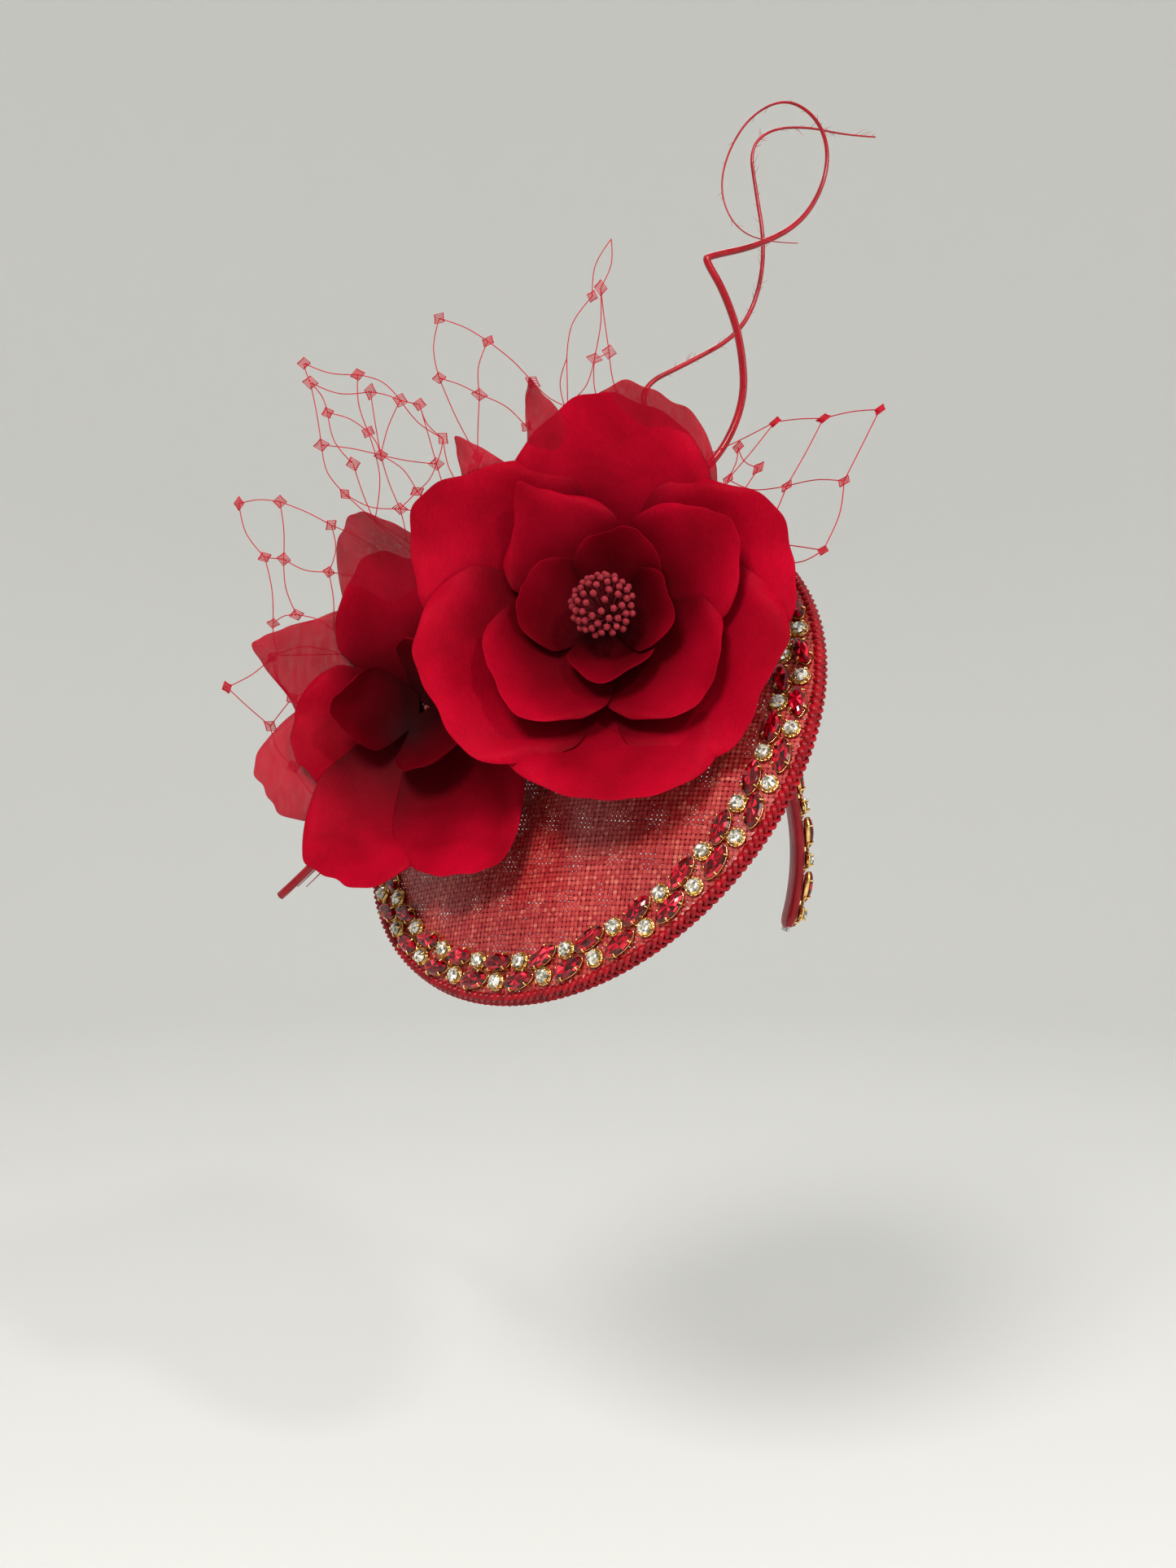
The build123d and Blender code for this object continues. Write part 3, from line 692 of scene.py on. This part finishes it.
def petal_shape(x, v, point):
    """Where a point of the square grid (x along, v across) lies on the petal: its share of the
    reach and of the half width.  The outer half is bent round so that the tip is a full curve."""
    foot = 0.26 + 0.74 * np.sin(np.pi / 2 * np.clip(x / 0.58, 0, 1)) ** 1.2
    tip = np.clip((x - 0.45) / 0.55, 0, 1)
    far = np.sqrt(1 - v ** 2 / 2)
    if point:
        far = 0.68 * far + 0.32 * (1 - np.abs(v)) ** 1.4
    along = np.where(x < 0.45, x, 0.45 + 0.55 * tip * far)
    return along, foot * np.sqrt(1 - (0.72 if point else 0.5) * tip ** 2)


def ring_number(node):
    """One number for all petals of a ring, so that their ripples match and they cross less."""
    return sum(map(ord, node.rstrip("0123456789")))


def petal(name, plant, radius, rise, bearing, reach, width, curl, wave, node, cloth=silk, slot="silk",
          point=False, throat_shade=0.5, seed=0, keep_out=4):
    """A petal on its own sphere, with a wavy lip and an edge that rolls back by curl.  throat is the share
    of its reach that is painted darker as shade towards its foot, and keep_out the bloom's distance from
    the rose's bowl."""
    rows, columns = 34, 30
    x = np.linspace(0.035, 1, rows)[:, None] * np.ones((1, columns))
    v = np.linspace(-1, 1, columns)[None, :] * np.ones((rows, 1))
    phases = np.random.default_rng(seed + 11).random(2) * 6.28
    ring_phases = np.random.default_rng(ring_number(node)).random(2) * 6.28
    ragged = 1 + x ** 3 * (0.022 * np.sin(v * 4.5 + phases[0]) + 0.008 * np.sin(v * 13 + phases[1]))
    along, half = petal_shape(x, v, point)
    polar = along * reach * ragged / radius
    side = v * width / 2 * half / radius
    b = math.radians(bearing)
    way, cross = np.array((math.cos(b), math.sin(b), 0)), np.array((-math.sin(b), math.cos(b), 0))
    down = np.array((0, 0, 1))
    spine = np.sin(polar)[..., None] * way - np.cos(polar)[..., None] * down
    ray = np.cos(side)[..., None] * spine + np.sin(side)[..., None] * cross
    ring_angle = np.arctan2(ray[..., 1], ray[..., 0])
    lift = np.clip((x - 0.45) / 0.55, 0, 1)
    edge = np.maximum(lift, np.abs(v) ** 3 * np.clip(x * 1.6 - 0.3, 0, 1))
    roll = curl * edge ** 3
    swell = np.sin(5 * ring_angle + ring_phases[0]) + 0.5 * np.sin(9 * ring_angle + ring_phases[1])
    ripple = wave * lift ** 1.5 * swell
    points = np.array((0, 0, rise + radius)) + ray * (radius + (roll + ripple))[..., None]
    verts = plant.at(points.reshape(-1, 3))
    if plant is bloom:
        away = verts - ROSE_BOWL
        distance = np.linalg.norm(away, axis=1)[:, None]
        verts = ROSE_BOWL + away * np.maximum(1, (ROSE_RADIUS + keep_out) / distance)
    # painted shade: 0 at the petal's foot, rising to 1 further out, so the silk is painted darker deep in
    # the flower's heart
    depth = np.clip((x * reach - 8) / (reach * throat_shade), 0, 1)
    piece = make_piece(name, verts, grid_faces(rows, columns), cloth, "hat", slot, (node,), True,
                       {"tone": ("POINT", depth.ravel())})
    solid = piece.modifiers.new("cloth_thickness", "SOLIDIFY")
    solid.thickness, solid.offset = 0.28 * MM, 0
    smooth = piece.modifiers.new("smooth", "SUBSURF")
    smooth.levels = smooth.render_levels = 1


# bearing, reach and width of each petal, outermost first
ROSE_OUTER = ((90, 94, 92), (150, 92, 88), (20, 84, 90), (-85, 92, 94), (-30, 84, 90), (-150, 88, 92))
ROSE_MIDDLE = ((125, 72, 54, True), (30, 68, 60), (-40, 64, 62), (-135, 66, 62))
ROSE_INNER = ((170, 44, 42), (75, 42, 40), (-80, 40, 40), (0, 38, 38))
BLOOM_OUTER = ((100, 70, 66), (-160, 62, 64), (-108, 92, 66), (-60, 93, 70), (15, 84, 66))
BLOOM_INNER = ((60, 46, 42), (180, 44, 40), (-60, 42, 40))
ORGANZA_ROSE = ((108, 112, 36, True), (132, 108, 40, True), (80, 104, 74, False))
ORGANZA_BLOOM = ((98, 95, 52, False), (157, 86, 58, True), (-152, 84, 56, False))
# the inner rings' spheres: the first radius, and how much smaller each next one is
MIDDLE_SPHERES, INNER_SPHERES, BLOOM_SPHERES = (66, 4), (38, 3), (36, 3)
OUTER_SHRINK, SHEER_STEP = 1.5, 3
# how far the bloom's petals stay from the rose's bowl, and the change from petal to petal
CLEARANCE, CLEARANCE_STEP = 12, 1.2


def petal_ring(prefix, plant, sizes, radius, shrink, rise, curl, wave, throat_shade):
    """A ring of petals, each on a smaller sphere and a step higher than the one before."""
    for i, (bearing, reach, width, *folded) in enumerate(sizes):
        name = f"{prefix}_{i + 1}"
        petal(f"silk_{name}", plant, radius - i * shrink, rise + i * PETAL_STEP, bearing, reach, width,
              curl, wave, name, point=bool(folded), throat_shade=throat_shade, seed=i,
              keep_out=CLEARANCE - CLEARANCE_STEP * i)
    return rise + len(sizes) * PETAL_STEP


def flowers():
    """Both flowers, ring by ring from the outside, then the sheer petals behind them."""
    rise = petal_ring("rose_outer_petal", rose, ROSE_OUTER, ROSE_RADIUS, OUTER_SHRINK, 0, 8, 2.6,
                      throat_shade=0.85)
    rise = petal_ring("rose_middle_petal", rose, ROSE_MIDDLE, *MIDDLE_SPHERES, rise, 4, 2.0, throat_shade=1.0)
    top = petal_ring("rose_inner_petal", rose, ROSE_INNER, *INNER_SPHERES, rise, 0.5, 1.4, throat_shade=1.3)
    rise = petal_ring("bloom_outer_petal", bloom, BLOOM_OUTER, BLOOM_RADIUS, OUTER_SHRINK, 0, 4, 3.0,
                      throat_shade=0.8)
    petal_ring("bloom_inner_petal", bloom, BLOOM_INNER, *BLOOM_SPHERES, rise, -2, 1.6, throat_shade=1.3)
    for i, (bearing, reach, width, point) in enumerate(ORGANZA_ROSE + ORGANZA_BLOOM):
        plant, radius, step = (rose, ROSE_RADIUS, i + 1) if i < 3 else (bloom, BLOOM_RADIUS, i - 2)
        petal(f"sheer_petal_{i + 1}", plant, radius + SHEER_STEP * step, -step * PETAL_STEP, bearing, reach,
              width, 5, 1.2, f"organza_petal_{i + 1}", organza, "organza", point, seed=40 + i,
              keep_out=CLEARANCE + CLEARANCE_STEP * step)
    stem("rose_stem", rose, top)
    stem("bloom_stem", bloom, 2)
    stamens(top)


def stem(name, plant, top):
    """A wrapped wire stem from the dome up to the flower's eye, spiral bound and tapering to a point."""
    height = (plant.origin - disc.origin) @ disc.z
    local = (plant.origin - disc.origin) @ disc.x, (plant.origin - disc.origin) @ disc.y
    drop = (height - float(dome(math.hypot(*local))) - 3) / float(plant.z @ disc.z)
    t = np.linspace(0, 1, 60)
    path = plant.at(np.column_stack([0 * t, 0 * t, -drop + t * (drop + top)]))
    radius = np.interp(t, (0, 0.6, 1), (3.5, 3.0, 0.4)) * (1 + 0.04 * np.sin(t * 75))
    make_piece(f"wrapped_{name}", *tube(path, radius, 12), thread, "hat", "stem_wrap", (name,))


def ball(radius, rings=6, sides=8):
    """A small round head."""
    levels = [(max(math.sin(a), 0.02), -math.cos(a)) for a in np.linspace(0, math.pi, rings)]
    verts, faces = rings_mesh(circle(sides), levels)
    return verts * radius, faces


def stamens(top):
    """A domed tuft of filaments, each with a grainy head."""
    count, golden = 55, math.pi * (3 - math.sqrt(5))
    lean, lean_gain, longest, shorter, head = 4, 34, 26, 5, 1.5
    heads, wires = [], []
    for i in range(count):
        spread, turn = math.radians(lean + lean_gain * math.sqrt(i / count)), i * golden
        length = longest - shorter * (i / count)
        aside = math.sin(spread)
        way = np.array((aside * math.cos(turn), aside * math.sin(turn), math.cos(spread)))
        tip = np.array((0, 0, top)) + way * length
        shape, faces = ball(head)
        lumps = 1 + 0.10 * np.sin(shape[:, :1] * 4 + i) * np.cos(shape[:, 1:2] * 5)
        heads.append((rose.at(shape * lumps * (1, 1, 1.25) + tip), faces))
        foot = np.array((way[0] * 3, way[1] * 3, top - 2))
        wires.append(tube(rose.at(spline([foot, (foot + tip) / 2 * (0.8, 0.8, 1), tip], 6)), 0.24, 5))
    make_piece("stamen_heads", *gather(heads), pollen, "hat", "stamen", ("rose_stamen_heads",))
    make_piece("stamen_filaments", *gather(wires), pollen, "hat", "stamen")


# ---------------------------------------------------------------- quills
# right, up and forward in the fan's plane
LONG_SHAFT = ((-163, -37, -11), (-129, -7, -3), (-95, 50, -8), (-54, 97, -6), (-26, 120, -1))
LONG_RISE = ((2, 138, 4), (36, 158, 3), (52, 188, 2), (50, 217, 5), (42, 239, 8), (33.5, 253, 9),
             (34.5, 255, 8.5))
LONG_CURL = ((58, 262, 0), (79, 275, -8), (90, 294, -12), (92, 312, -12), (85, 326, -10),
             (71, 332, -6), (55, 323, -2), (44, 305, 2), (40, 286, 5), (46, 269, 8), (59, 261, 10),
             (75, 260, 12))
SHORT = ((-33, 114, -10), (-6, 148, -9), (10, 178, -7), (3, 199, -9), (28, 212, -14),
         (50, 225, -18), (60, 244, -20), (63, 268, -20), (59, 294, -22), (56, 314, -22),
         (66, 324, -24), (84, 325.5, -26), (103, 322, -28), (116, 321, -27))


def stripped(path, radius, sides, flat):
    """A stripped quill: an oval tube, flatter towards the fan's front."""
    return tube(path, radius, sides, flat, np.tile(fan.x * 0.2 + fan.z, (len(path), 1)))


def barbs(path, start, count, length, seed):
    """Short broken barbs left along a stripped quill."""
    local = np.random.default_rng(seed)
    parts = []
    for k in local.integers(int(start * len(path)), len(path) - 2, count):
        ahead = unit(path[k + 1] - path[k])
        aside = np.cross(ahead, fan.z) * local.choice((-1, 1))
        way = unit(aside + ahead * local.uniform(0.2, 1.4) + fan.z * local.normal(0, 0.2))
        size = length * local.uniform(0.4, 1.0)
        bend = path[k] + way * size * 0.6 + ahead * size * 0.1
        parts.append(tube(spline([path[k], bend, path[k] + way * size + ahead * size * 0.4], 5),
                          np.linspace(0.14, 0.04, 5), 4))
    return gather(parts)


def quills():
    """The long quill with its hollow stub end, bent at the flowers, and the short one."""
    path = fan.at(spline(LONG_SHAFT + LONG_RISE + LONG_CURL, 420))
    t = np.linspace(0, 1, len(path))
    radius = np.interp(t, (0, 0.25, 0.5, 0.6, 0.75, 1), (2.7, 2.5, 2.2, 1.5, 0.85, 0.3))
    long_quill = make_piece("long_quill", *stripped(path, radius, 12, 0.72), quill_skin, None, "quill",
                            ("quill_long_shaft", "quill_long_curl"))
    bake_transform(long_quill)
    upper = fan.at(spline(LONG_RISE + LONG_CURL, 300))
    make_piece("long_quill_barbs", *barbs(upper, 0.30, 26, 3.2, 3), quill_skin, "quill_long", "quill")
    stub = fan.at(((-163, -37, -11), (-152, -27, -8), (-141, -15, -5)))
    slivers = [tube(spline(stub + fan.y * 4.2 + fan.x * shift, 8), np.linspace(0.2, 0.55, 8), 5)
               for shift in (8, 12)]
    make_piece("quill_slivers", *gather(slivers), quill_skin, "hat", "quill")
    path = fan.at(spline(SHORT, 320))
    t = np.linspace(0, 1, len(path))
    radius = np.interp(t, (0, 0.3, 0.6, 0.85, 1), (2.0, 1.7, 1.25, 0.85, 0.5))
    make_piece("short_quill", *stripped(path, radius, 10, 0.7), quill_skin, "quill_short", "quill",
               ("quill_short",))
    make_piece("short_quill_barbs", *barbs(path, 0.25, 60, 5.0, 5), quill_skin, "quill_short", "quill")
    whipping()


def whipping():
    """Thread wound round the long quill where the flowers hold it."""
    end = fan.at(LONG_SHAFT[-1])[0]
    run = unit(end - fan.at(LONG_SHAFT[-2])[0])
    side = unit(np.cross(run, fan.z))
    up = np.cross(side, run)
    t = np.linspace(0, 13 * 2 * np.pi, 13 * 14)
    around = np.outer(np.cos(t), side) + np.outer(np.sin(t), up)
    path = end + np.outer(-7 + 5.5 * t / t[-1], run) + 2.95 * around
    make_piece("quill_whipping", *tube(path, 0.3, 6), thread, "hat", "thread", ("quill_binding",))


# ---------------------------------------------------------------- veiling
# Each tuft: its place, its knots (right, up), the loose anchor ends, and the threads between them.
VEILS = {
    "veil_tuft_1": (
        fan, -13,
        ((-188, 60), (-167, 74), (-168, 42), (-158, 55), (-148, 34), (-157, 23)),
        ((-140, 77), (-131, 62), (-131, 37), (-127, 20), (-138, 1)),
        ((0, 1), (0, 2), (1, 3), (2, 3), (3, 4), (2, 5), (4, 5), (1, 6), (3, 7), (4, 8), (4, 9),
         (5, 10))),
    "veil_tuft_2": (
        fan, -16,
        ((-183, 146), (-164, 147), (-140, 136), (-171, 121), (-162, 120), (-141, 114), (-167, 90),
         (-156, 94)),
        ((-112, 119), (-116, 102), (-139, 87), (-164, 75)),
        ((0, 1), (1, 2), (2, 8), (0, 3), (1, 4), (2, 5), (3, 4), (4, 5), (5, 9), (3, 6), (4, 7),
         (5, 10), (6, 7), (6, 11), (7, 10))),
    "veil_tuft_3": (
        fan, -19,
        ((-153, 212), (-150, 203), (-128, 207), (-122, 199), (-108, 195), (-99, 193), (-142, 189),
         (-123, 180), (-88, 177), (-145, 174), (-117, 169), (-91, 165), (-130, 165), (-134, 151),
         (-100, 152), (-108, 144), (-81, 138), (-85, 128)),
        ((-120, 138), (-105, 129), (-93, 119), (-71, 123), (-76, 150)),
        ((0, 1), (0, 2), (1, 3), (3, 4), (4, 5), (2, 4), (1, 6), (6, 7), (6, 12), (1, 9), (9, 10),
         (9, 13), (3, 10), (4, 10), (2, 7), (7, 10), (12, 18), (13, 15), (13, 19), (10, 14),
         (10, 15), (4, 8), (5, 8), (5, 11), (8, 11), (10, 11), (11, 14), (14, 15), (14, 17),
         (15, 16), (15, 19), (11, 16), (8, 22), (16, 17), (7, 18), (17, 20), (16, 21))),
    "veil_tuft_4": (
        fan, -22,
        ((-90, 234), (-67, 223), (-46, 204), (-90, 206), (-71, 198), (-49, 183), (-72, 169),
         (-74, 163)),
        ((-29, 192), (-36, 173), (-61, 158), (-65, 146)),
        ((0, 1), (1, 2), (0, 3), (1, 4), (3, 4), (4, 5), (2, 5), (2, 8), (5, 9), (4, 6), (3, 6),
         (6, 10), (7, 11), (6, 7))),
    "veil_tuft_5": (
        disc, 14,
        ((192, -20), (178, 6), (167, 31), (149, 39), (134, 30), (144, -4), (157, -33), (145, 19),
         (127, -51), (115, -39)),
        ((139, 53), (115, 17), (115, -16)),
        ((0, 1), (1, 2), (2, 10), (0, 6), (1, 5), (2, 4), (3, 4), (4, 5), (5, 6), (6, 8), (5, 12),
         (8, 12), (8, 9), (9, 12), (7, 11), (4, 11), (3, 7))),
}
# where the loose ends of each tuft are gathered, behind the flowers
VEIL_ROOTS = {"veil_tuft_1": (-88, 60), "veil_tuft_2": (-82, 77), "veil_tuft_3": (-63, 90),
              "veil_tuft_4": (-50, 100), "veil_tuft_5": (84, 18)}
SPIKE_ROOT = (-28, 112)
VEIL_SPIKE = (fan, -25, ((-14, 249), (-18, 245), (-10, 219), (-17, 216)),
              ((-9, 272), (-30, 216), (-31, 193), (0, 189), (-15, 193)),
              ((4, 0), (4, 1), (0, 3), (0, 2), (2, 3), (1, 5), (5, 6), (2, 7), (3, 6), (3, 8)))


def veil_parts(place, depth, knots, anchors, threads, seed):
    """Filaments between ladder-woven knots, each filament bowed a little."""
    local = np.random.default_rng(seed)
    spots = np.array([(*p, depth + 0.2) for p in knots + anchors], float)
    spots[:, 2] += 1.2 * np.sin(spots[:, 0] / 14) * np.cos(spots[:, 1] / 17)
    parts, ways = [], {k: [] for k in range(len(knots))}
    for a, b in threads:
        run = spots[b] - spots[a]
        bow = np.array((-run[1], run[0], 0)) * local.uniform(-0.13, 0.13)
        line = spline([spots[a], spots[a] + run * 0.33 + bow, spots[a] + run * 0.67 + bow, spots[b]], 12)
        parts.append(tube(place.at(line), 0.26, 5))
        for k, away in ((a, run), (b, -run)):
            if k in ways:
                ways[k].append(math.atan2(away[1], away[0]))
    for k, angles in ways.items():
        turn = (angles[0] if angles else 0) + math.pi / 4 + local.uniform(-0.3, 0.3)
        across = np.array((math.cos(turn), math.sin(turn), 0)) * local.uniform(1.9, 2.6)
        along = np.array((-math.sin(turn), math.cos(turn), 0)) * local.uniform(1.7, 2.4)
        along = along + across * local.uniform(-0.35, 0.35)
        for s in (-1, 1):
            parts.append(tube(place.at([spots[k] + across * s - along, spots[k] + across * s * 0.9,
                                        spots[k] + across * s + along]), 0.30, 4))
        for rung in np.linspace(-1, 1, 7):
            parts.append(tube(place.at([spots[k] - across * 1.05 + along * rung, spots[k] + along * rung,
                                        spots[k] + across * 1.05 + along * rung]), 0.27, 4))
    return parts


def gathered_ends(place, depth, anchors, root):
    """The loose ends run together, are bound, and go down to the disc as one strand."""
    start = place.at((*root, depth))[0]
    away = start - disc.origin
    across = np.array((away @ disc.x, away @ disc.y))
    across *= min(1, 98 / np.linalg.norm(across))
    foot = disc.at((*across, float(dome(np.linalg.norm(across)))))[0]
    parts = [tube(spline([start, (start + foot) / 2 + disc.z * 2, foot], 12), 0.8, 7)]
    for anchor in anchors:
        end = place.at((*anchor, depth + 0.2))[0]
        parts.append(tube(spline([end, (end + start) / 2 + place.z * 1.5, start], 12), 0.26, 5))
    return parts


def veiling():
    """All the tufts; the fourth has a slim spike behind it."""
    for i, (name, (place, depth, knots, anchors, threads)) in enumerate(VEILS.items()):
        parts = veil_parts(place, depth, knots, anchors, threads, 20 + i)
        parts += gathered_ends(place, depth, anchors, VEIL_ROOTS[name])
        if name == "veil_tuft_4":
            parts += veil_parts(*VEIL_SPIKE, 31)
            parts += gathered_ends(*VEIL_SPIKE[:2], VEIL_SPIKE[3][1:], SPIKE_ROOT)
        make_piece(f"{name}_net", *gather(parts), filament, "hat", "veiling", (name,))


# ---------------------------------------------------------------- the whole headpiece
bpy.context.scene.view_settings.view_transform = "Standard"
make_camera()
make_lights()
make_stage()
woven_sheet("top_sinamay", 0.3, 0.62, 2.1, "sinamay_top_layer", 0.12)
woven_sheet("under_sinamay", 1.5, 0.50, 2.1, "sinamay_under_layer", -0.08)
edge_braid()
rim_trim()
arm_trim(1, "band_left", 66)
arm_trim(-1, "band_right", 86)
band_half(1, "band_left")
band_half(-1, "band_right")
flowers()
quills()
veiling()
for node, paint in CAD_PAINT.items():
    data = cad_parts[node].data
    data.materials.clear()
    data.materials.append(paint)
